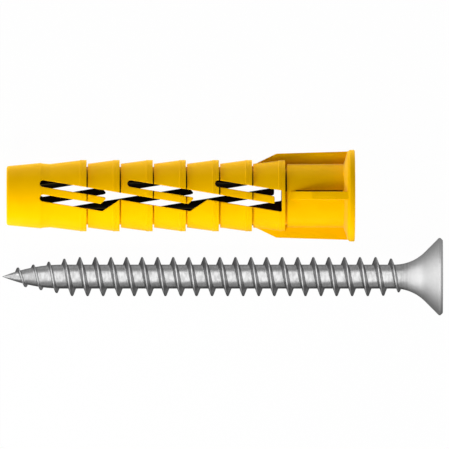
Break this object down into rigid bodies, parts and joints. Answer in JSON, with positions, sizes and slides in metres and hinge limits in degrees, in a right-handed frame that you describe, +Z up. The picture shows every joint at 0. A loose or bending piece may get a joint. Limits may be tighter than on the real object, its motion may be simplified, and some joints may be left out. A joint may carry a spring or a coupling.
{
  "type": "wall plug with screw",
  "caption": "Moulded expansion wall plug with barbs, zigzag slots and anti-turn fins, with the countersunk cross-recess wood screw that expands it.",
  "frame": {"origin": "centre of the pair's footprint, on the surface that both pieces lie on", "axes": "+X along the length from the tips to the heads, +Y from the screw towards the plug, +Z up from the surface"},
  "size_m": [0.0508, 0.019, 0.0106],
  "materials": {
    "yellow_nylon": "moulded, glossy",
    "zinc_plated_steel": "bright zinc plate"
  },
  "bodies": {
    "root": {"plug": "yellow_nylon", "screw": "zinc_plated_steel"}
  },
  "joints": []
}
